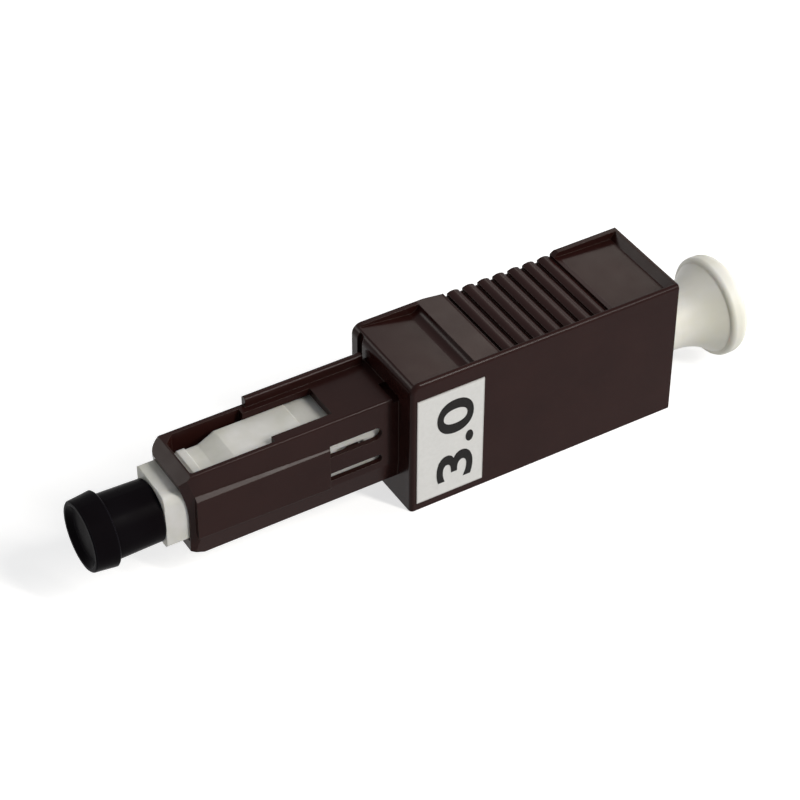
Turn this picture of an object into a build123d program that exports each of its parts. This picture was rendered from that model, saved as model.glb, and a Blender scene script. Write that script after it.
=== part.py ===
from build123d import *
import math
import os

# Push-pull fibre attenuator, plug at one end and port at the other, in millimetres
# X runs along the light path from the ferrule tip (-X) to the port (+X)
# Y runs across the width, the keyed and labelled side at -Y, and Z is up
# The origin is the centre of the adapter body's flat underside

# Adapter body of the outer housing
body_length = 20.2
body_width = 7.4
body_height = 10.35
axis_height = 5.3
near_edge_radius = 0.28
far_edge_radius = 0.15
front_top_radius = 0.7

# Plug shroud of the outer housing
plug_reach = 15.3
plug_width = 4.4
plug_height = 6.6
shroud_side_wall = 0.35
shroud_top_wall = 0.5
shroud_edge_radius = 0.15
shroud_nose_bevel_length = 0.8
shroud_nose_bevel_top = 0.6
shroud_side_bevel_length = 0.6
shroud_side_bevel_width = 0.25
shroud_far_corner_radius = 0.9
shroud_front_wall = 0.9
shroud_foot_chamfer_height = 1.35
shroud_foot_chamfer_width = 0.15

# Swept-back curve of the shroud's front edge, as (setback, height above its underside)
front_curve = ((0, 5.98), (0.28, 4.95), (0.52, 3.9), (0.6, 2.5), (0.57, 1.4), (0.55, 0.4))
front_heel_length = 0.9

# Latch window in the shroud's top and bottom
window_length = 10.05
window_wide_length = 5.8
window_wall = 0.3
window_narrow_width = 2.8
window_near_corner = 0.12
window_far_corner = 0.65
window_pad_lead = 0.5

# Key plateau on the near side of the shroud
key_front_setback = 0.92
key_length = 9.4
key_height = 3.25
key_top_above_axis = 1.6
key_drop = 0.35
key_rise_front = 0.28
key_rise_rear = 0.1

# Slots that free the snap strip behind the key
slot_length = 3.75
slot_root = 1.2
upper_slot_width = 0.95
upper_slot_above_axis = 0.95
lower_slot_width = 0.6
lower_slot_below_axis = 1.15
snap_bump_length = 0.8
snap_bump_rise = 0.22
snap_bump_width = 1.0

# Rail along the far top edge, groove down the body's far front corner and relief at the plug's root
rail_length = 8.4
rail_width = 0.5
rail_rise = 0.65
rail_outset = 0.12
rail_gap = 0.25
corner_strip_width = 0.8
corner_groove_width = 0.6
corner_groove_depth = 0.25
root_relief_length = 0.45
root_relief_width = 1.75
root_relief_depth = 0.3
root_relief_undercut = 0.25

# Finger grip on the body's top
near_lip_width = 0.3
far_lip_width = 0.45
pocket_front_depth = 0.05
pocket_deep = 0.53
pocket_foot = 3.95
crest_at = 4.75
scoop_depth = 0.28
groove_count = 7
groove_first = 7.0
groove_pitch = 1.155
groove_width = 0.3
groove_depth = 0.32
rib_crown = 0.24
underside_groove_depth = 0.3
rear_foot = 15.45
rear_foot_depth = 0.36
rear_lip_foot = 19.6
rear_lip_top = 20.0

# Port in the body's rear face
port_width = 4.5
port_height = 6.7
port_depth = 11.5
port_lead_in = 0.25
keyway_height = 4.2
keyway_depth = 0.35
keyway_length = 8.0

# Inner cavity and travel of the frame in the housing
frame_side_clearance = 0.1
frame_top_clearance = 0.05
frame_forward_travel = 0.3
frame_rearward_travel = 0.7
stop_clearance = 0.06

# Plug frame
nose_protrusion = 0.95
nose_width = 3.64
nose_height = 4.1
nose_corner = 0.16
nose_near_top_radius = 0.75
nose_clearance = 0.06
nose_bore_radius = 1.4
nose_bore_depth = 3.4
guide_wall = 1.0
guide_clearance = 0.04
boss_width = 2.4
boss_bar_length = 0.75
boss_bar_height = 2.52
boss_bar_bevel = 0.22
neck_length = 0.9
neck_height = 2.38
shelf_height = 0.95
ramp_length = 1.3
frame_edge_chamfer = 0.3
frame_bore_radius = 1.35
shoulder_step = 0.25
shoulder_from_window_end = 1.85

# Ferrule assembly
ferrule_radius = 0.6245
ferrule_protrusion = 3.4
ferrule_chamfer = 0.2
fibre_radius = 0.0625
fibre_bore_radius = 0.066
flange_radius = 1.25
flange_length = 1.0
flange_stem_radius = 0.85
flange_stem_length = 1.6
flange_notch_width = 0.5
flange_notch_depth = 0.3
bond_gap = 0.004
ferrule_float = 0.5

# Spring and its seat
spring_wire_radius = 0.13
spring_mean_radius = 1.06
spring_length = 5.6
spring_turns = 8
seat_length = 1.2
seat_radius = 1.34
seat_bore_radius = 0.72
seat_collar_radius = 0.9
seat_collar_length = 0.6

# Split sleeve and its two holders
sleeve_length = 6.8
sleeve_radius = 0.81
sleeve_bore_radius = 0.64
sleeve_slit = 0.25
holder_radius = 1.25
holder_bore_radius = 0.87
holder_lip = 0.35
holder_lip_bore_radius = 0.7
holder_end_gap = 0.05
flange_plate = 0.7
port_fit_clearance = 0.06
arm_length = 5.6
arm_width = 2.2
arm_thickness = 0.42
arm_offset = 2.62
hook_rise = 0.32
hook_length = 0.9
peg_radius = 0.4
peg_length = 0.9
peg_offset = 2.0

# Ferrule cap
cap_radius = 2.06
cap_neck_radius = 2.14
cap_shoulder_radius = 2.48
cap_end_radius = 2.33
cap_length = 4.85
cap_head_length = 1.6
cap_bore_clearance = 0.23
cap_drop = 0.21
cap_tip_room = 0.4
cap_dish_depth = 0.35
cap_rim = 0.28
cap_seat_gap = 0.03
cap_edge = 0.08

# Dust plug
stub_radius = 1.95
stub_length = 3.0
stub_edge = 0.25
stub_rest_gap = 0.03
dust_neck_radius = 1.97
dust_neck_length = 2.0
dust_head_radius = 3.5
dust_head_thickness = 1.5
dust_length = 6.65
dust_bore_radius = 1.5
dust_bore_depth = 3.6
dust_flare_radius = 3.15
dust_head_edge = 0.32
dust_rim_radius = 0.75
dust_dish_depth = 0.12

# Value label
label_width = 4.92
label_height = 8.45
label_thickness = 0.06
label_front_setback = 0.43
label_bottom = 0.6

# Worked-out planes and stations
body_front = -body_length / 2
body_rear = body_length / 2
half_body = body_width / 2
half_plug = plug_width / 2
shroud_front = body_front - plug_reach
plug_top = axis_height + plug_height / 2
plug_bottom = axis_height - plug_height / 2
cavity_half_width = half_plug - shroud_side_wall
cavity_half_height = plug_height / 2 - shroud_top_wall
window_front = shroud_front + shroud_front_wall
window_rear = window_front + window_length
window_step = window_front + window_wide_length
port_floor = body_rear - port_depth
frame_half_width = cavity_half_width - frame_side_clearance
frame_half_height = cavity_half_height - frame_top_clearance
nose_front = shroud_front - nose_protrusion
frame_shoulder = window_front + frame_forward_travel + stop_clearance
frame_rear = port_floor + frame_forward_travel + stop_clearance + 0.1
boss_rear = frame_shoulder + boss_bar_length + neck_length
ramp_rear = boss_rear + ramp_length
ferrule_tip = nose_front - ferrule_protrusion
guide_front = nose_front + nose_bore_depth
guide_rear = guide_front + guide_wall
flange_front = guide_rear + bond_gap
flange_rear = flange_front + flange_length
spring_rear = flange_rear + spring_length
seat_rear = spring_rear + seat_length
holder_split = frame_rear + flange_plate
sleeve_centre = frame_rear - 0.3
sleeve_front = sleeve_centre - sleeve_length / 2
sleeve_rear = sleeve_centre + sleeve_length / 2
holder_rear = sleeve_rear + holder_end_gap + holder_lip
plate_rear = holder_split + flange_plate
ferrule_rear = sleeve_centre
cap_rear = nose_front - cap_seat_gap
cap_front = cap_rear - cap_length
dust_axis_height = axis_height - port_height / 2 + stub_radius + stub_rest_gap


def block(x, y, z):
    """Box from three (low, high) pairs."""
    size = [high - low for low, high in (x, y, z)]
    centre = [(low + high) / 2 for low, high in (x, y, z)]
    return Pos(*centre) * Box(*size)


def rod(x_low, x_high, radius, height=axis_height):
    """Cylinder along X between two stations."""
    turned = Rotation(0, 90, 0) * Cylinder(radius, x_high - x_low)
    return Pos((x_low + x_high) / 2, 0, height) * turned


def turned_piece(points, height=axis_height):
    """Solid turned about the X axis at the given height from (x, radius) points."""
    outline = make_face(Polyline(*[(x, 0, r) for x, r in points], close=True).edges())
    return Pos(0, 0, height) * revolve(outline, Axis.X)


def cross_section(x, width, height):
    """Rectangle across the light path, centred on it."""
    return Plane(origin=(x, 0, axis_height), z_dir=(1, 0, 0), x_dir=(0, 1, 0)) * Rectangle(width, height)


def side_profile(points, y_low, y_high):
    """Prism across the width from an outline of (x, z) points."""
    outline = make_face(Polyline(*[(x, y_low, z) for x, z in points], close=True).edges())
    return extrude(outline, amount=y_high - y_low, dir=(0, 1, 0))


def edges_at(shape, axis, place, direction):
    """Edges along a direction whose centre lies at a place on an axis."""
    index = "XYZ".index(axis)
    return ShapeList(
        edge
        for edge in shape.edges().filter_by(direction)
        if abs(tuple(edge.center())[index] - place) < 1e-3
    )


def grip_pocket(y_low, y_high):
    """What the finger grip removes from the body's top between its lips, without the grooves."""
    top = body_height
    above = top + 1
    foot = (body_front + pocket_foot, top - pocket_deep)
    crest = (body_front + crest_at, top)
    floor_slope = (pocket_foot, pocket_front_depth - pocket_deep)
    with BuildSketch(Plane.XZ.offset(-y_low)) as outline:
        with BuildLine():
            Polyline(
                (body_front - 1, above),
                (body_front - 1, top - pocket_front_depth),
                (body_front, top - pocket_front_depth),
                foot,
            )
            TangentArc(foot, crest, tangent=floor_slope)
            Polyline(
                crest,
                (body_front + groove_first - groove_width, top - scoop_depth),
                (body_front + groove_first + groove_count * groove_pitch, top - scoop_depth),
                (body_front + rear_foot, top - rear_foot_depth),
                (body_front + rear_lip_foot, top - pocket_deep),
                (body_front + rear_lip_top, top),
                (body_front + rear_lip_top, above),
                (body_front - 1, above),
            )
        make_face()
    return extrude(outline.sketch, amount=-(y_high - y_low))


def rib_cutters(y_low, y_high):
    """Grooves across the grip, with the rounded valleys beside each rib's crown."""
    top = body_height - scoop_depth
    cutters = Part()
    for index in range(groove_count + 1):
        x = body_front + groove_first + index * groove_pitch
        if index < groove_count:
            cutters += block(
                (x - groove_width / 2, x + groove_width / 2), (y_low, y_high), (top - groove_depth, top + 1)
            )
        left = x - groove_pitch
        if index == 0:
            continue
        with BuildSketch(Plane.XZ.offset(-y_low)) as valley:
            with BuildLine():
                ThreePointArc((left, top - rib_crown), ((left + x) / 2, top), (x, top - rib_crown))
                Line((x, top - rib_crown), (x, top + 0.5))
                Line((x, top + 0.5), (left, top + 0.5))
                Line((left, top + 0.5), (left, top - rib_crown))
            make_face()
        cutters += extrude(valley.sketch, amount=-(y_high - y_low))
    return cutters


def adapter_body():
    """The body block with its finger grip, before the port and cavity."""
    shape = block((body_front, body_rear), (-half_body, half_body), (0, body_height))
    shape = fillet(edges_at(shape, "X", body_front, Axis.Y).sort_by(Axis.Z)[-1], front_top_radius)
    for index, radius in ((0, near_edge_radius), (-1, far_edge_radius)):
        wall = shape.faces().filter_by(Axis.Y).sort_by(Axis.Y)[index]
        rounded = [
            edge for edge in wall.edges() if edge.center().Z > radius and edge.center().X < body_rear - radius
        ]
        shape = fillet(rounded, radius)
    near = -half_body + near_lip_width
    far = half_body - far_lip_width
    shape -= grip_pocket(near, far)
    scoop = [
        (body_front + crest_at, body_height + 1),
        (body_front + crest_at, body_height),
        (body_front + groove_first - groove_width, body_height - scoop_depth),
        (body_front + groove_first + groove_count * groove_pitch, body_height - scoop_depth),
        (body_front + rear_foot, body_height),
        (body_front + rear_foot, body_height + 1),
    ]
    shape -= side_profile(scoop, near, half_body + 1)
    shape -= rib_cutters(near, half_body + 1)
    for index in range(groove_count):
        x = body_front + groove_first + index * groove_pitch
        shape -= block((x - groove_width / 2, x + groove_width / 2), (near, far), (-1, underside_groove_depth))
    strip = half_body - corner_strip_width
    return shape - block(
        (body_front - 1, body_front + corner_groove_depth),
        (strip - corner_groove_width, strip),
        (-1, body_height + 1),
    )


def plug_shroud():
    """The plug end's outside with its bevelled nose, key plateau and rail."""
    shape = block((shroud_front, body_front + 1), (-half_plug, half_plug), (plug_bottom, plug_top))
    far_front = [
        edge for edge in edges_at(shape, "X", shroud_front, Axis.Z) if edge.center().Y > 0
    ]
    shape = fillet(far_front, shroud_far_corner_radius)
    for side in (-1, 1):
        foot = [edge for edge in edges_at(shape, "Z", plug_bottom, Axis.X) if edge.center().Y * side > 0]
        wall = shape.faces().filter_by(Axis.Y).sort_by(Axis.Y)[0 if side < 0 else -1]
        shape = chamfer(foot, shroud_foot_chamfer_height, shroud_foot_chamfer_width, reference=wall)
    bevel_top = side_profile(
        [
            (shroud_front - 1, plug_top + 1),
            (shroud_front - 1, plug_top - shroud_nose_bevel_top),
            (shroud_front, plug_top - shroud_nose_bevel_top),
            (shroud_front + shroud_nose_bevel_length, plug_top),
            (shroud_front + shroud_nose_bevel_length, plug_top + 1),
        ],
        -half_plug - 1,
        half_plug + 1,
    )
    shape -= bevel_top
    shape -= front_sweep()
    curved = [edge for edge in shape.edges().filter_by(GeomType.BSPLINE) if edge.center().Y < -half_plug + 0.01]
    near_side = shape.faces().filter_by(Axis.Y).sort_by(Axis.Y)[0]
    shape = chamfer(curved, shroud_side_bevel_length, shroud_side_bevel_width, reference=near_side)
    top_near = [
        edge
        for edge in edges_at(shape, "Z", plug_top, Axis.X)
        if edge.center().Y < 0 and edge.length > plug_reach / 2
    ]
    shape = fillet(top_near, shroud_edge_radius)
    shape += key_plateau()
    shape += top_rail()
    return shape


def front_sweep():
    """What the swept-back front edge and the heel below it remove from the shroud."""
    points = [(shroud_front + setback, plug_bottom + height) for setback, height in front_curve]
    start = points[0]
    end = points[-1]
    heel = (end[0] + front_heel_length, plug_bottom)
    with BuildSketch(Plane.XZ) as outline:
        with BuildLine():
            Spline(*points)
            Polyline(
                end,
                heel,
                (heel[0], plug_bottom - 1),
                (shroud_front - 1, plug_bottom - 1),
                (shroud_front - 1, start[1]),
                start,
            )
        make_face()
    return extrude(outline.sketch, amount=half_plug + 1, both=True)


def key_plateau():
    """Raised key on the near side, sloped on top, thinner and a little lower towards the rear."""
    front = shroud_front + key_front_setback
    rear = front + key_length
    top = axis_height + key_top_above_axis
    sections = []
    for x, rise, drop in ((front, key_rise_front, 0), (rear, key_rise_rear, key_drop)):
        z_high = top - drop
        z_low = z_high - key_height
        corners = [
            (x, -half_plug - rise, z_low),
            (x, -half_plug - rise, z_high - rise),
            (x, -half_plug, z_high),
            (x, -half_plug + 0.1, z_high),
            (x, -half_plug + 0.1, z_low),
        ]
        sections.append(make_face(Polyline(*corners, close=True).edges()))
    return loft(sections)


def top_rail():
    """Rounded rail along the far top edge of the shroud, ending just before the body."""
    rear = body_front - rail_gap
    rail = block(
        (rear - rail_length, rear),
        (half_plug - rail_width + rail_outset, half_plug + rail_outset),
        (plug_top - 0.3, plug_top + rail_rise),
    )
    rail = fillet(edges_at(rail, "Z", plug_top + rail_rise, Axis.X), rail_width * 0.4)
    return rail


def latch_window():
    """Opening in the shroud's top: wide at the front, narrower between two pads behind."""
    half_wide = half_plug - window_wall
    half_narrow = window_narrow_width / 2
    outline = [
        (window_front + window_near_corner, -half_wide),
        (window_step, -half_wide),
        (window_step, -half_narrow),
        (window_rear, -half_narrow),
        (window_rear, half_narrow),
        (window_step - window_pad_lead, half_narrow),
        (window_step - window_pad_lead, half_wide),
        (window_front + window_far_corner, half_wide),
        (window_front, half_wide - window_far_corner),
        (window_front, -half_wide + window_near_corner),
    ]
    face = make_face(Polyline(*[(x, y, axis_height) for x, y in outline], close=True).edges())
    return extrude(face, amount=plug_height / 2 + 1, dir=(0, 0, 1))


def side_slot(z_centre, width):
    """Slot through the near wall with a rounded rear end."""
    rear = body_front - slot_root
    front = rear - slot_length
    straight = block(
        (front, rear - width / 2),
        (-half_plug - 1, -cavity_half_width + 0.3),
        (z_centre - width / 2, z_centre + width / 2),
    )
    end = Pos(rear - width / 2, -half_plug - 0.2, z_centre) * (
        Rotation(90, 0, 0) * Cylinder(width / 2, 2)
    )
    return straight + end


def inner_cavity():
    """Passage for the frame through the shroud, with the port and keyway behind it."""
    half_nose_width = nose_width / 2 + nose_clearance
    half_nose_height = nose_height / 2 + nose_clearance
    nose_hole = block(
        (shroud_front - 1, window_front + 0.5),
        (-half_nose_width, half_nose_width),
        (axis_height - half_nose_height, axis_height + half_nose_height),
    )
    passage = block(
        (window_front, port_floor + 1),
        (-cavity_half_width, cavity_half_width),
        (axis_height - cavity_half_height, axis_height + cavity_half_height),
    )
    port = block(
        (port_floor, body_rear + 1),
        (-port_width / 2, port_width / 2),
        (axis_height - port_height / 2, axis_height + port_height / 2),
    )
    keyway = block(
        (body_rear - keyway_length, body_rear + 1),
        (-port_width / 2 - keyway_depth, 0),
        (axis_height - keyway_height / 2, axis_height + keyway_height / 2),
    )
    mouth = loft(
        [
            cross_section(body_rear - port_lead_in, port_width, port_height),
            cross_section(body_rear + 0.01, port_width + 2 * port_lead_in, port_height + 2 * port_lead_in),
        ]
    )
    return nose_hole + passage + port + keyway + mouth


def outer_housing():
    """One moulding: adapter body and plug shroud around a through passage."""
    shape = adapter_body() + plug_shroud()
    shape -= inner_cavity()
    shape -= latch_window()
    shape -= mirror(latch_window(), Plane.XY.offset(axis_height))
    shape -= side_slot(axis_height + upper_slot_above_axis, upper_slot_width)
    shape -= side_slot(axis_height - lower_slot_below_axis, lower_slot_width)
    relief = block(
        (body_front - root_relief_length, body_front + root_relief_undercut),
        (-half_plug - 0.01, -half_plug + root_relief_width),
        (plug_top - root_relief_depth, plug_top),
    )
    shape -= relief
    bump_rear = body_front - slot_root - slot_length / 2 + snap_bump_length / 2
    bump = block(
        (bump_rear - snap_bump_length, bump_rear),
        (-cavity_half_width - 0.05, -cavity_half_width + snap_bump_rise),
        (axis_height - 0.1 - snap_bump_width / 2, axis_height - 0.1 + snap_bump_width / 2),
    )
    return shape + bump


def plug_frame():
    """White frame that carries the ferrule: nose, latch boss, ramp, plateau and rear."""
    low = axis_height - frame_half_height
    high = axis_height + frame_half_height
    main = block((ramp_rear, frame_rear), (-frame_half_width, frame_half_width), (low, high))
    main = chamfer(main.edges().filter_by(Axis.X), frame_edge_chamfer)
    ramp = loft([cross_section(boss_rear, boss_width, 2 * neck_height), main.faces().sort_by(Axis.X)[0]])
    nose = block(
        (nose_front, frame_shoulder),
        (-nose_width / 2, nose_width / 2),
        (axis_height - nose_height / 2, axis_height + nose_height / 2),
    )
    long_edges = nose.edges().filter_by(Axis.X).sort_by(lambda edge: edge.center().Z - edge.center().Y)
    nose = fillet(long_edges[-1], nose_near_top_radius)
    nose = chamfer(edges_at(nose, "Y", nose_width / 2, Axis.X), nose_corner)
    nose = chamfer(edges_at(nose, "Z", axis_height - nose_height / 2, Axis.X).sort_by(Axis.Y)[0], nose_corner)
    shelf = block(
        (frame_shoulder - 0.1, ramp_rear + 0.1),
        (-frame_half_width, frame_half_width),
        (axis_height - shelf_height, axis_height + shelf_height),
    )
    neck = block(
        (frame_shoulder - 0.1, boss_rear),
        (-boss_width / 2, boss_width / 2),
        (axis_height - neck_height, axis_height + neck_height),
    )
    neck -= block((frame_shoulder - 1, frame_shoulder), (-2, 2), (axis_height + nose_height / 2, high))
    neck -= block((frame_shoulder - 1, frame_shoulder), (-2, 2), (low, axis_height - nose_height / 2))
    bar = block(
        (frame_shoulder, frame_shoulder + boss_bar_length),
        (-boss_width / 2, boss_width / 2),
        (axis_height - boss_bar_height, axis_height + boss_bar_height),
    )
    bar = chamfer(edges_at(bar, "X", frame_shoulder, Axis.Y), boss_bar_bevel)
    shape = main + ramp + nose + shelf + neck + bar
    shoulder = window_rear - shoulder_from_window_end
    step = block(
        (shoulder, frame_rear + 1),
        (-frame_half_width - 1, frame_half_width + 1),
        (high - shoulder_step, high + 1),
    )
    shape -= step
    shape -= mirror(step, Plane.XY.offset(axis_height))
    shape -= rod(nose_front - 1, guide_front, nose_bore_radius)
    shape -= rod(guide_front - 1, guide_rear + 1, ferrule_radius + guide_clearance)
    shape -= rod(guide_rear, frame_rear + 1, frame_bore_radius)
    bump_rear = body_front - slot_root - slot_length / 2 + snap_bump_length / 2
    groove = block(
        (
            bump_rear - snap_bump_length - frame_rearward_travel - stop_clearance,
            bump_rear + frame_forward_travel + stop_clearance,
        ),
        (-frame_half_width - 1, -frame_half_width + snap_bump_rise),
        (axis_height - 0.2 - snap_bump_width / 2, axis_height + snap_bump_width / 2),
    )
    shape -= groove
    for side in (-1, 1):
        shape -= rod(frame_rear - peg_length - 0.1, frame_rear + 1, peg_radius + 0.01, axis_height + side * peg_offset)
    return shape


def ferrule():
    """Ceramic ferrule with chamfered ends and the fibre's bore."""
    shape = rod(ferrule_tip, ferrule_rear, ferrule_radius)
    shape = chamfer(shape.edges().filter_by(GeomType.CIRCLE), ferrule_chamfer)
    return shape - rod(ferrule_tip - 1, ferrule_rear + 1, fibre_bore_radius)


def attenuating_fibre():
    """Doped fibre bonded in the ferrule, polished flush at both ends."""
    return rod(ferrule_tip, ferrule_rear, fibre_radius)


def ferrule_flange():
    """Metal collar on the ferrule: notched front disc and the stem that centres the spring."""
    shape = rod(flange_front, flange_rear, flange_radius)
    shape += rod(flange_front, flange_rear + flange_stem_length, flange_stem_radius)
    shape -= rod(flange_front - 1, flange_rear + flange_stem_length + 1, ferrule_radius + bond_gap)
    for side in (-1, 1):
        centre = side * flange_radius
        shape -= block(
            (flange_front - 1, flange_rear + 1),
            (centre - flange_notch_depth, centre + flange_notch_depth),
            (axis_height - flange_notch_width / 2, axis_height + flange_notch_width / 2),
        )
    return shape


def ferrule_spring():
    """Coil between the flange and its seat, its wire clear of both ends."""
    rise = spring_length - 2 * spring_wire_radius - 0.04
    pitch = rise / spring_turns
    path = Helix(pitch, rise, spring_mean_radius)
    start = path @ 0
    wire = Plane(origin=start, z_dir=path % 0) * Circle(spring_wire_radius)
    coil = sweep(wire, path=path, is_frenet=True)
    return Pos(flange_rear + spring_wire_radius + 0.02, 0, axis_height) * (Rotation(0, 90, 0) * coil)


def spring_seat():
    """Ring pressed into the frame's bore behind the spring."""
    shape = rod(spring_rear, seat_rear, seat_radius)
    shape += rod(spring_rear - seat_collar_length, seat_rear, seat_collar_radius)
    return shape - rod(spring_rear - seat_collar_length - 1, seat_rear + 1, seat_bore_radius)


def split_sleeve():
    """Ceramic alignment sleeve, slit along its length."""
    shape = rod(sleeve_front, sleeve_rear, sleeve_radius) - rod(sleeve_front - 1, sleeve_rear + 1, sleeve_bore_radius)
    return shape - block(
        (sleeve_front - 1, sleeve_rear + 1),
        (-sleeve_slit / 2, sleeve_slit / 2),
        (axis_height, axis_height + sleeve_radius + 1),
    )


def holder_plate(x_low, x_high):
    """Flange of a sleeve holder, a running fit in the port."""
    return block(
        (x_low, x_high),
        (-port_width / 2 + port_fit_clearance, port_width / 2 - port_fit_clearance),
        (axis_height - port_height / 2 + port_fit_clearance, axis_height + port_height / 2 - port_fit_clearance),
    )


def sleeve_holder():
    """Front half of the holder: flange, tube into the frame and two locating pegs."""
    front = sleeve_front - holder_end_gap - holder_lip
    shape = holder_plate(frame_rear, holder_split)
    shape += rod(front, holder_split, holder_radius)
    for side in (-1, 1):
        shape += rod(frame_rear - peg_length, holder_split, peg_radius, axis_height + side * peg_offset)
    shape -= rod(front + holder_lip, holder_split + 1, holder_bore_radius)
    return shape - rod(front - 1, front + holder_lip + 1, holder_lip_bore_radius)


def latch_holder():
    """Rear half of the holder: flange, tube and the two hooked latch arms."""
    shape = holder_plate(holder_split, plate_rear)
    shape += rod(holder_split, holder_rear, holder_radius)
    shape -= rod(holder_split - 1, holder_rear - holder_lip, holder_bore_radius)
    shape -= rod(holder_rear - holder_lip - 1, holder_rear + 1, holder_lip_bore_radius)
    arm_end = plate_rear + arm_length
    inner = axis_height + arm_offset
    hook = [
        (plate_rear - 0.1, inner),
        (plate_rear - 0.1, inner + arm_thickness),
        (arm_end, inner + arm_thickness),
        (arm_end, inner),
        (arm_end - hook_length / 2, inner - hook_rise),
        (arm_end - hook_length, inner - hook_rise),
        (arm_end - hook_length, inner),
    ]
    arm = side_profile(hook, -arm_width / 2, arm_width / 2)
    shape += arm
    shape += mirror(arm, Plane.XY.offset(axis_height))
    return shape


def ferrule_cap():
    """Turned cap hanging loosely on the ferrule: tapered barrel, stepped head and dished end."""
    shoulder = cap_front + cap_head_length
    height = axis_height - cap_drop
    dish_radius = cap_end_radius - cap_rim
    outline = [
        (cap_rear, 0),
        (cap_rear, cap_radius - cap_edge),
        (cap_rear - cap_edge, cap_radius),
        (shoulder, cap_neck_radius),
        (shoulder, cap_shoulder_radius - cap_edge),
        (shoulder - cap_edge, cap_shoulder_radius),
        (cap_front + cap_edge, cap_end_radius),
        (cap_front, cap_end_radius - cap_edge),
        (cap_front, dish_radius),
        (cap_front + cap_dish_depth, dish_radius * 0.8),
        (cap_front + cap_dish_depth, 0),
    ]
    bore_end = ferrule_tip - cap_tip_room
    bore = rod(bore_end, cap_rear + 1, ferrule_radius + cap_bore_clearance, height)
    return turned_piece(outline, height) - bore


def dust_plug():
    """Soft plug in the port: hollow stub, waisted neck and mushroom head."""
    inner = body_rear - stub_length
    neck_end = body_rear + dust_neck_length
    outer = body_rear + dust_length
    head_front = outer - dust_head_thickness
    rim = dust_head_radius - dust_rim_radius
    flare = (head_front, dust_flare_radius)
    lip = (head_front + dust_head_edge, dust_head_radius)
    with BuildSketch(Plane.XZ) as outline:
        with BuildLine():
            Polyline(
                (outer - dust_dish_depth, 0),
                (inner, 0),
                (inner, stub_radius - stub_edge),
                (inner + stub_edge, stub_radius),
                (body_rear - stub_edge, stub_radius),
                (body_rear, dust_neck_radius),
                (neck_end, dust_neck_radius),
            )
            TangentArc((neck_end, dust_neck_radius), flare, tangent=(1, 0))
            RadiusArc(flare, lip, dust_head_edge * 1.1)
            Line(lip, (outer - dust_rim_radius, dust_head_radius))
            TangentArc((outer - dust_rim_radius, dust_head_radius), (outer, rim), tangent=(1, 0))
            Line((outer, rim), (outer - dust_dish_depth, rim * 0.7))
            Line((outer - dust_dish_depth, rim * 0.7), (outer - dust_dish_depth, 0))
        make_face()
    shape = Pos(0, 0, dust_axis_height) * revolve(outline.sketch, Axis.X)
    return shape - rod(inner - 1, inner + dust_bore_depth, dust_bore_radius, dust_axis_height)


def label():
    """Thin value label on the body's near side."""
    left = body_front + label_front_setback
    return block(
        (left, left + label_width),
        (-half_body - label_thickness, -half_body),
        (label_bottom, label_bottom + label_height),
    )


pieces = {
    "outer_housing": outer_housing,
    "label": label,
    "plug_frame": plug_frame,
    "ferrule": ferrule,
    "attenuating_fibre": attenuating_fibre,
    "ferrule_flange": ferrule_flange,
    "ferrule_spring": ferrule_spring,
    "spring_seat": spring_seat,
    "split_sleeve": split_sleeve,
    "sleeve_holder": sleeve_holder,
    "latch_holder": latch_holder,
    "ferrule_cap": ferrule_cap,
    "dust_plug": dust_plug,
}

os.makedirs("parts", exist_ok=True)
for node, make in pieces.items():
    export_step(make(), f"parts/{node}.step")
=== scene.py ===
import math

import bmesh
import bpy
from mathutils import Matrix, Vector


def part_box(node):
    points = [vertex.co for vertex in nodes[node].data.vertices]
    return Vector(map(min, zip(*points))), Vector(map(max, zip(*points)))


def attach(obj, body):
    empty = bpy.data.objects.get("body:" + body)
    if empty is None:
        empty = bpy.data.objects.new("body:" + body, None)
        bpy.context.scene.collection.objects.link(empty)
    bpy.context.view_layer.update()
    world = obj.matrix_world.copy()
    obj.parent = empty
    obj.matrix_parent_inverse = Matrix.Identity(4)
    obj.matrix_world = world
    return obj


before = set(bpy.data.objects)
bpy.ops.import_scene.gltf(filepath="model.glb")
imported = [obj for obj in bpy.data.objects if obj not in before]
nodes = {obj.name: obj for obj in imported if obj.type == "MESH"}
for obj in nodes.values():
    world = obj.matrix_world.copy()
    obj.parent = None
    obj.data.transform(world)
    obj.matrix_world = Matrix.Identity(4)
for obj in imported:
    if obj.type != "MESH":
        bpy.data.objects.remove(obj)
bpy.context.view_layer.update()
print("frame loaded with", len(nodes), "nodes")


# small helpers for node trees
def startMaterial(name):
    material = bpy.data.materials.new(name)
    material.use_nodes = True
    tree = material.node_tree
    shader = tree.nodes["Principled BSDF"]
    place = tree.nodes.new("ShaderNodeTexCoord").outputs["Object"]
    return material, tree, shader, place


def noiseAt(tree, place, scale, detail, roughness=0.5):
    noise = tree.nodes.new("ShaderNodeTexNoise")
    noise.inputs["Scale"].default_value = scale
    noise.inputs["Detail"].default_value = detail
    noise.inputs["Roughness"].default_value = roughness
    tree.links.new(place, noise.inputs["Vector"])
    return noise.outputs["Fac"]


def stretched(tree, place, lines):
    mapping = tree.nodes.new("ShaderNodeMapping")
    mapping.inputs["Scale"].default_value = lines
    tree.links.new(place, mapping.inputs["Vector"])
    return mapping.outputs["Vector"]


def spread(tree, value, low, high, fromLow=0.3, fromHigh=0.7):
    mapRange = tree.nodes.new("ShaderNodeMapRange")
    mapRange.inputs["From Min"].default_value = fromLow
    mapRange.inputs["From Max"].default_value = fromHigh
    mapRange.inputs["To Min"].default_value = low
    mapRange.inputs["To Max"].default_value = high
    tree.links.new(value, mapRange.inputs["Value"])
    return mapRange.outputs["Result"]


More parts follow.
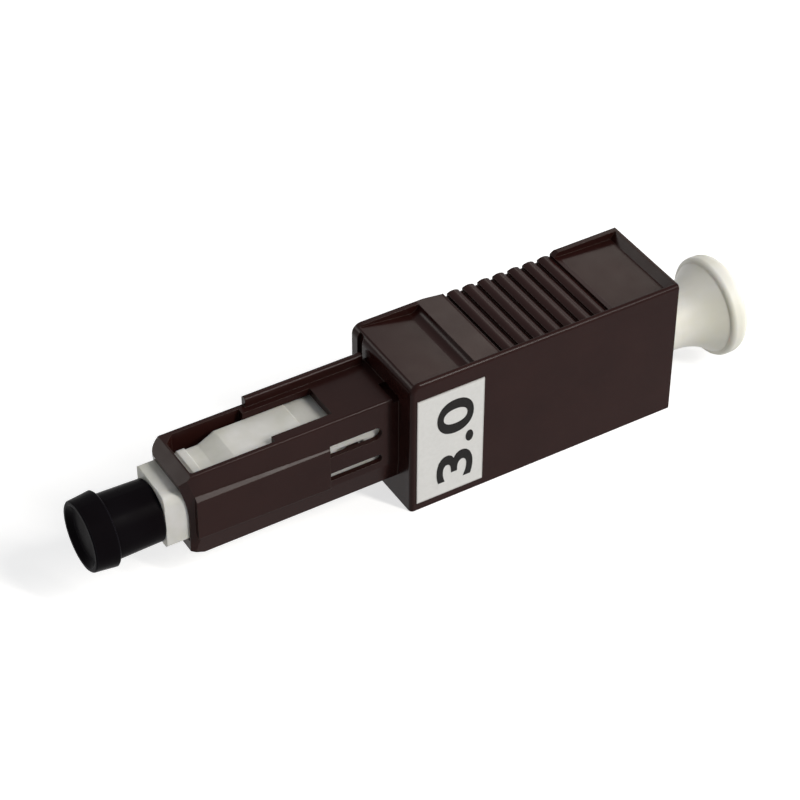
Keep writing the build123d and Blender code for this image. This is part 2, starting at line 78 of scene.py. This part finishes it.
# one Math node between sockets, or between a socket and a plain number
def combine(tree, operation, *values):
    node = tree.nodes.new("ShaderNodeMath")
    node.operation = operation
    for socket, value in zip(node.inputs, values):
        if isinstance(value, float):
            socket.default_value = value
        else:
            tree.links.new(value, socket)
    return node.outputs["Value"]


def blendColours(tree, amount, first, second):
    mix = tree.nodes.new("ShaderNodeMix")
    mix.data_type = "RGBA"
    tree.links.new(amount, mix.inputs["Factor"])
    for socket, colour in ((mix.inputs["A"], first), (mix.inputs["B"], second)):
        if isinstance(colour, tuple):
            socket.default_value = (*colour, 1)
        else:
            tree.links.new(colour, socket)
    return mix.outputs["Result"]


def bumpFrom(tree, height, distance, under=None):
    bump = tree.nodes.new("ShaderNodeBump")
    bump.inputs["Distance"].default_value = distance
    tree.links.new(height, bump.inputs["Height"])
    if under:
        tree.links.new(under, bump.inputs["Normal"])
    return bump.outputs["Normal"]


def roundedNormal(tree, radius, samples):
    bevel = tree.nodes.new("ShaderNodeBevel")
    bevel.samples = samples
    bevel.inputs["Radius"].default_value = radius
    return bevel.outputs["Normal"]


# from 0 on a flat to 1 where the rounded normal has turned away from the face by this much
def edgeAmount(tree, rounded, turn):
    geometry = tree.nodes.new("ShaderNodeNewGeometry")
    dot = tree.nodes.new("ShaderNodeVectorMath")
    dot.operation = "DOT_PRODUCT"
    tree.links.new(rounded, dot.inputs[0])
    tree.links.new(geometry.outputs["Normal"], dot.inputs[1])
    return spread(tree, dot.outputs["Value"], 1, 0, 1 - turn, 1)


# what all moulded plastics share
mouldMake = {
    "edgeSamples": 6,
    "edgeTurn": 0.12,
    "edgePatches": 3,  # patches in the paler edge, partly wear and partly painted highlight, for each patch of tone
    "faintestWearAndHighlight": 0.35,
    "depthTint": (1.0, 0.9, 0.7),
    "depthReach": 0.0006,
}


# moulded plastic: two close tones, mould texture and softly rounded edges, a little paler, partly
# as wear and partly as a painted highlight
def mouldedPlastic(name, look, make=mouldMake):
    material, tree, shader, place = startMaterial(name)
    tone = spread(tree, noiseAt(tree, place, look["toneScale"], detail=4), 0, 1)
    colour = blendColours(tree, tone, look["colour"], look["secondColour"])
    rounded = roundedNormal(tree, look["edgeRadius"], make["edgeSamples"])
    # paler tone along rounded edges: partly wear, partly a painted highlight where light catches
    # the edges
    if "edgeWearAndHighlightColour" in look:
        patches = noiseAt(tree, place, look["toneScale"] * make["edgePatches"], detail=2)
        strength = spread(tree, patches, make["faintestWearAndHighlight"], look["edgeWearAndHighlightStrength"])
        wearAndHighlightEdge = combine(tree, "MULTIPLY", edgeAmount(tree, rounded, make["edgeTurn"]), strength)
        colour = blendColours(tree, wearAndHighlightEdge, colour, look["edgeWearAndHighlightColour"])
    tree.links.new(colour, shader.inputs["Base Color"])
    gloss = noiseAt(tree, place, look["glossScale"], detail=3)
    tree.links.new(spread(tree, gloss, *look["roughness"]), shader.inputs["Roughness"])
    grain = noiseAt(tree, place, look["grainScale"], detail=2, roughness=0.6)
    tree.links.new(bumpFrom(tree, grain, look["grainDepth"], rounded), shader.inputs["Normal"])
    shader.inputs["Specular IOR Level"].default_value = look["specular"]
    if "depth" in look:
        shader.inputs["Subsurface Weight"].default_value = look["depth"]
        shader.inputs["Subsurface Radius"].default_value = make["depthTint"]
        shader.inputs["Subsurface Scale"].default_value = make["depthReach"]
    return material


# turned or drawn metal: fine lines, close together where "lines" has the larger number
def turnedMetal(name, look):
    material, tree, shader, place = startMaterial(name)
    lines = noiseAt(tree, stretched(tree, place, look["lines"]), scale=1, detail=4, roughness=0.65)
    colour = blendColours(tree, spread(tree, lines, 0, 1), look["colour"], look["secondColour"])
    tree.links.new(colour, shader.inputs["Base Color"])
    tree.links.new(spread(tree, lines, *look["roughness"]), shader.inputs["Roughness"])
    tree.links.new(bumpFrom(tree, lines, look["lineDepth"]), shader.inputs["Normal"])
    shader.inputs["Metallic"].default_value = 1
    return material


def dress(name, material):
    nodes[name].data.materials.clear()
    nodes[name].data.materials.append(material)


housingLook = {
    "colour": (0.0180, 0.0048, 0.0040),
    "secondColour": (0.0230, 0.0070, 0.0058),
    # tan edges: partly wear, partly a painted highlight along the rims
    "edgeWearAndHighlightColour": (0.060, 0.045, 0.034),
    "edgeWearAndHighlightStrength": 0.5,
    "toneScale": 260,
    "glossScale": 700,
    "grainScale": 7000,
    "roughness": (0.21, 0.26),
    "grainDepth": 0.0000012,
    "edgeRadius": 0.00006,
    "specular": 0.085,
}
dress("outer_housing", mouldedPlastic("brownHousingPlastic", housingLook))

frameLook = {
    "colour": (0.585, 0.585, 0.525),
    "secondColour": (0.73, 0.72, 0.70),
    "toneScale": 420,
    "glossScale": 900,
    "grainScale": 5200,
    "roughness": (0.38, 0.5),
    "grainDepth": 0.0000018,
    "edgeRadius": 0.00012,
    "specular": 0.4,
    "depth": 0.35,
}
dress("plug_frame", mouldedPlastic("creamFramePlastic", frameLook))

holderLook = {
    **frameLook,
    "colour": (0.66, 0.66, 0.62),
    "secondColour": (0.72, 0.72, 0.69),
    "toneScale": 400,
    "edgeRadius": 0.00006,
}
holderPlastic = mouldedPlastic("whiteHolderPlastic", holderLook)
dress("sleeve_holder", holderPlastic)
dress("latch_holder", holderPlastic)

capLook = {
    "colour": (0.0042, 0.0032, 0.0040),
    "secondColour": (0.0060, 0.0050, 0.0063),
    # bluish paler edges: partly wear, partly a painted bluish highlight
    "edgeWearAndHighlightColour": (0.030, 0.031, 0.040),
    "edgeWearAndHighlightStrength": 0.6,
    "toneScale": 300,
    "glossScale": 1100,
    "grainScale": 4200,
    "roughness": (0.26, 0.34),
    "grainDepth": 0.0000012,
    "edgeRadius": 0.00008,
    "specular": 0.008,
}
dress("ferrule_cap", mouldedPlastic("blackCapPlastic", capLook))

dustPlugLook = {
    "colour": (0.745, 0.735, 0.635),
    "secondColour": (0.84, 0.83, 0.80),
    "toneScale": 260,
    "glossScale": 500,
    "grainScale": 3600,
    "roughness": (0.4, 0.52),
    "grainDepth": 0.0000025,
    "edgeRadius": 0.0001,
    "specular": 0.4,
    "depth": 0.5,
}
dress("dust_plug", mouldedPlastic("softDustPlugPlastic", dustPlugLook))
print("plastics dressed")

steelLook = {
    "colour": (0.50, 0.50, 0.49),
    "secondColour": (0.62, 0.62, 0.60),
    "lines": (26000, 900, 900),
    "roughness": (0.2, 0.34),
    "lineDepth": 0.0000012,
}
dress("ferrule_flange", turnedMetal("turnedFlangeSteel", steelLook))
springLook = {**steelLook, "lines": (3000, 9000, 9000), "roughness": (0.16, 0.28)}
dress("ferrule_spring", turnedMetal("drawnSpringWire", springLook))
seatLook = {**steelLook, "colour": (0.52, 0.38, 0.16), "secondColour": (0.66, 0.50, 0.24)}
dress("spring_seat", turnedMetal("turnedSeatBrass", seatLook))

ceramicLook = {
    "colour": (0.79, 0.775, 0.73),
    "secondColour": (0.84, 0.83, 0.80),
    "toneScale": 600,
    "glossScale": 1500,
    "grainScale": 9000,
    "roughness": (0.08, 0.14),
    "grainDepth": 0.0000004,
    "edgeRadius": 0.00003,
    "specular": 0.65,
    "depth": 0.2,
}
zirconia = mouldedPlastic("polishedZirconia", ceramicLook)
dress("ferrule", zirconia)
dress("split_sleeve", zirconia)


# fibre glass, with a faint core tint from the doping
def dopedGlass(name, look):
    material, tree, shader, place = startMaterial(name)
    cloud = noiseAt(tree, place, look["cloudScale"], detail=2)
    colour = blendColours(tree, spread(tree, cloud, 0, 1), look["colour"], look["secondColour"])
    tree.links.new(colour, shader.inputs["Base Color"])
    shader.inputs["Roughness"].default_value = look["roughness"]
    shader.inputs["Transmission Weight"].default_value = look["clearness"]
    shader.inputs["IOR"].default_value = look["refraction"]
    return material


fibreLook = {
    "colour": (0.78, 0.85, 0.92),
    "secondColour": (0.70, 0.80, 0.90),
    "cloudScale": 2400,
    "roughness": 0.04,
    "clearness": 0.7,
    "refraction": 1.46,
}
dress("attenuating_fibre", dopedGlass("dopedFibreGlass", fibreLook))


# from 0 inside the label's rim to 1 at its cut edge
def labelRim(tree, place, width):
    low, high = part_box("label")
    centred = tree.nodes.new("ShaderNodeMapping")
    centred.inputs["Location"].default_value = -(low + high) / 2
    tree.links.new(place, centred.inputs["Vector"])
    parts = tree.nodes.new("ShaderNodeSeparateXYZ")
    tree.links.new(centred.outputs["Vector"], parts.inputs["Vector"])
    near = []
    for axis, half in (("X", (high.x - low.x) / 2), ("Z", (high.z - low.z) / 2)):
        reach = combine(tree, "ABSOLUTE", parts.outputs[axis])
        near.append(spread(tree, reach, 0, 1, half - width, half))
    return combine(tree, "MAXIMUM", *near)


# label film: pale stock with paper grain and a slightly greyed rim
def labelFilm(name, look):
    material, tree, shader, place = startMaterial(name)
    fibres = noiseAt(tree, place, look["fibreScale"], detail=5, roughness=0.7)
    stock = blendColours(tree, spread(tree, fibres, 0, 1), look["colour"], look["secondColour"])
    colour = blendColours(tree, labelRim(tree, place, look["rimWidth"]), stock, look["rimColour"])
    tree.links.new(colour, shader.inputs["Base Color"])
    tree.links.new(spread(tree, fibres, *look["roughness"]), shader.inputs["Roughness"])
    tree.links.new(bumpFrom(tree, fibres, look["fibreDepth"]), shader.inputs["Normal"])
    shader.inputs["Specular IOR Level"].default_value = look["specular"]
    return material


labelLook = {
    "colour": (0.66, 0.66, 0.645),
    "secondColour": (0.71, 0.71, 0.70),
    "rimColour": (0.50, 0.49, 0.475),
    "rimWidth": 0.00012,
    "fibreScale": 3400,
    "fibreDepth": 0.0000012,
    "roughness": (0.42, 0.56),
    "specular": 0.35,
}
dress("label", labelFilm("paleLabelFilm", labelLook))
print("metals, ceramic, glass and label dressed")


# a plain value printed on the label, reading upwards
valuePrint = {
    "text": "3.0",
    "height": 0.0027,
    "length": 0.0067,
    "thickness": 0.000012,
    "leftEdge": -0.00822,
    "middleHeight": 0.00483,
    "boldness": 0.018,  # this one, the next and the weld are in the font's own units
    "letterDepth": 0.02,
    "weldDistance": 0.0001,
    "curveSteps": 8,
    "ink": (0.010, 0.009, 0.009),
    "inkThin": (0.020, 0.019, 0.018),
    "thinRange": (0.45, 0.8),
    "speckleScale": 5200,
    "roughness": (0.4, 0.6),
    "specular": 0.1,
}


def printedInk(name, look):
    material, tree, shader, place = startMaterial(name)
    speckle = noiseAt(tree, place, look["speckleScale"], detail=4, roughness=0.7)
    thinned = spread(tree, speckle, 0, 1, *look["thinRange"])
    colour = blendColours(tree, thinned, look["ink"], look["inkThin"])
    tree.links.new(colour, shader.inputs["Base Color"])
    tree.links.new(spread(tree, speckle, *look["roughness"]), shader.inputs["Roughness"])
    shader.inputs["Specular IOR Level"].default_value = look["specular"]
    return material


def letterMesh(look):
    curve = bpy.data.curves.new("valueCurve", "FONT")
    curve.body = look["text"]
    curve.offset = look["boldness"]
    curve.extrude = look["letterDepth"]
    curve.resolution_u = look["curveSteps"]
    writing = bpy.data.objects.new("valueWriting", curve)
    bpy.context.scene.collection.objects.link(writing)
    bpy.context.view_layer.update()
    drawn = writing.evaluated_get(bpy.context.evaluated_depsgraph_get())
    mesh = bpy.data.meshes.new_from_object(drawn)
    bpy.data.objects.remove(writing)
    return mesh


def addValuePrint(look):
    mesh = letterMesh(look)
    shape = bmesh.new()
    shape.from_mesh(mesh)
    bmesh.ops.remove_doubles(shape, verts=shape.verts, dist=look["weldDistance"])
    low = Vector([min(v.co[i] for v in shape.verts) for i in range(3)])
    high = Vector([max(v.co[i] for v in shape.verts) for i in range(3)])
    bmesh.ops.translate(shape, verts=shape.verts, vec=-(low + high) / 2)
    size = high - low
    bmesh.ops.scale(
        shape,
        verts=shape.verts,
        vec=(look["length"] / size.x, look["height"] / size.y, look["thickness"] / size.z),
    )
    # letters face -Y, run up Z and have their tops towards -X
    turn = Matrix(((0, -1, 0), (0, 0, -1), (1, 0, 0)))
    bmesh.ops.rotate(shape, verts=shape.verts, cent=(0, 0, 0), matrix=turn)
    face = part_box("label")[0].y
    middle = look["leftEdge"] + look["height"] / 2
    place = Vector((middle, face - look["thickness"] / 2, look["middleHeight"]))
    bmesh.ops.translate(shape, verts=shape.verts, vec=place)
    bmesh.ops.recalc_face_normals(shape, faces=shape.faces)
    shape.to_mesh(mesh)
    shape.free()
    mesh.materials.clear()
    mesh.materials.append(printedInk("darkPrintInk", look))
    piece = bpy.data.objects.new("labelValue", mesh)
    bpy.context.scene.collection.objects.link(piece)
    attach(piece, "housing")


addValuePrint(valuePrint)
print("label value printed")


# floor, light and camera
stage = {
    "floorSize": 1.6,
    "floorTiles": 80,  # small tiles, so that the contact with the object stays exact
    "floorDrop": 0.00002,
    "floorColour": (0.62, 0.62, 0.62),
    "mottleScale": 40,
    "mottleGain": 1.02,
    "floorRoughness": 0.9,
    "floorSpecular": 0.1,
    "floorGlow": 0.66,
    "worldLight": (0.93, 0.96, 1.0),
    "worldStrength": 0.25,
}
aimPoint = (-0.007, 0, 0.005)  # near the middle of the object
softboxes = {
    "keySoftbox": {
        "from": (0.158, -0.273, 0.278),
        "size": (0.038, 0.24),
        "power": 1.2,
        "colour": (1.0, 0.97, 0.92),
    },
    "sideSoftbox": {
        "from": (0.36, -0.11, 0.12),
        "size": (0.14, 0.12),
        "power": 0.65,
        "colour": (1.0, 0.99, 0.97),
    },
    "gripSoftbox": {
        "from": (0.114, 0.124, 0.110),
        "size": (0.036, 0.036),
        "power": 0.013,
        "colour": (1.0, 0.93, 0.82),
    },
    "farSoftbox": {
        "from": (-0.26, 0.27, 0.165),
        "size": (0.10, 0.10),
        "power": 0.20,
        "colour": (1.0, 0.96, 0.90),
    },
}


# 1 for rays that see the background: camera, glossy and transmission rays
def backgroundRays(tree):
    rays = tree.nodes.new("ShaderNodeLightPath")
    seen = rays.outputs["Is Camera Ray"]
    for kind in ("Is Glossy Ray", "Is Transmission Ray"):
        seen = combine(tree, "MAXIMUM", seen, rays.outputs[kind])
    return seen


def addFloor(look):
    shape = bmesh.new()
    tiles = look["floorTiles"]
    bmesh.ops.create_grid(shape, x_segments=tiles, y_segments=tiles, size=look["floorSize"] / 2)
    bmesh.ops.translate(shape, verts=shape.verts, vec=(0, 0, -look["floorDrop"]))
    mesh = bpy.data.meshes.new("paleFloor")
    shape.to_mesh(mesh)
    shape.free()
    material, tree, shader, place = startMaterial("paleFloorPaint")
    mottle = noiseAt(tree, place, look["mottleScale"], detail=2)
    lighter = tuple(part * look["mottleGain"] for part in look["floorColour"])
    colour = blendColours(tree, mottle, look["floorColour"], lighter)
    tree.links.new(colour, shader.inputs["Base Color"])
    shader.inputs["Roughness"].default_value = look["floorRoughness"]
    shader.inputs["Specular IOR Level"].default_value = look["floorSpecular"]
    glow = combine(tree, "MULTIPLY", backgroundRays(tree), look["floorGlow"])
    shader.inputs["Emission Color"].default_value = (1, 1, 1, 1)
    tree.links.new(glow, shader.inputs["Emission Strength"])
    mesh.materials.append(material)
    floor = bpy.data.objects.new("paleFloor", mesh)
    bpy.context.scene.collection.objects.link(floor)


def setWorld(look):
    world = bpy.data.worlds.new("paleStudio")
    bpy.context.scene.world = world
    world.use_nodes = True
    tree = world.node_tree
    background = tree.nodes["Background"]
    background.inputs["Color"].default_value = (*look["worldLight"], 1)
    background.inputs["Strength"].default_value = look["worldStrength"]
    white = tree.nodes.new("ShaderNodeBackground")
    white.inputs["Color"].default_value = (1, 1, 1, 1)
    mix = tree.nodes.new("ShaderNodeMixShader")
    tree.links.new(backgroundRays(tree), mix.inputs["Fac"])
    tree.links.new(background.outputs["Background"], mix.inputs[1])
    tree.links.new(white.outputs["Background"], mix.inputs[2])
    tree.links.new(mix.outputs["Shader"], tree.nodes["World Output"].inputs["Surface"])


def addSoftbox(name, look):
    lamp = bpy.data.lights.new(name, "AREA")
    lamp.shape = "RECTANGLE"
    lamp.size, lamp.size_y = look["size"]
    lamp.energy = look["power"]
    lamp.color = look["colour"]
    box = bpy.data.objects.new(name, lamp)
    aim = Vector(aimPoint) - Vector(look["from"])
    box.location = look["from"]
    box.rotation_euler = aim.to_track_quat("-Z", "Y").to_euler()
    bpy.context.scene.collection.objects.link(box)


viewpoint = {
    "location": (-0.072814, -0.106218, 0.111694),
    "azimuth": -31.1231,
    "elevation": 40.3874,
    "roll": 0.1919,
    "lens": 115.32,
    "sensorWidth": 36,
    "nearestSeen": 0.005,
}


def addCamera(look):
    azimuth, elevation, roll = (math.radians(look[key]) for key in ("azimuth", "elevation", "roll"))
    lens = bpy.data.cameras.new("photoCamera")
    lens.lens = look["lens"]
    lens.sensor_width = look["sensorWidth"]
    lens.sensor_fit = "HORIZONTAL"
    lens.clip_start = look["nearestSeen"]
    camera = bpy.data.objects.new("photoCamera", lens)
    turn = (
        Matrix.Rotation(azimuth, 4, "Z")
        @ Matrix.Rotation(math.pi / 2 - elevation, 4, "X")
        @ Matrix.Rotation(roll, 4, "Z")
    )
    camera.matrix_world = Matrix.Translation(look["location"]) @ turn
    bpy.context.scene.collection.objects.link(camera)
    bpy.context.scene.camera = camera


addFloor(stage)
setWorld(stage)
for name, look in softboxes.items():
    addSoftbox(name, look)
addCamera(viewpoint)
bpy.context.scene.view_settings.view_transform = "Standard"
print("floor, light and camera set")
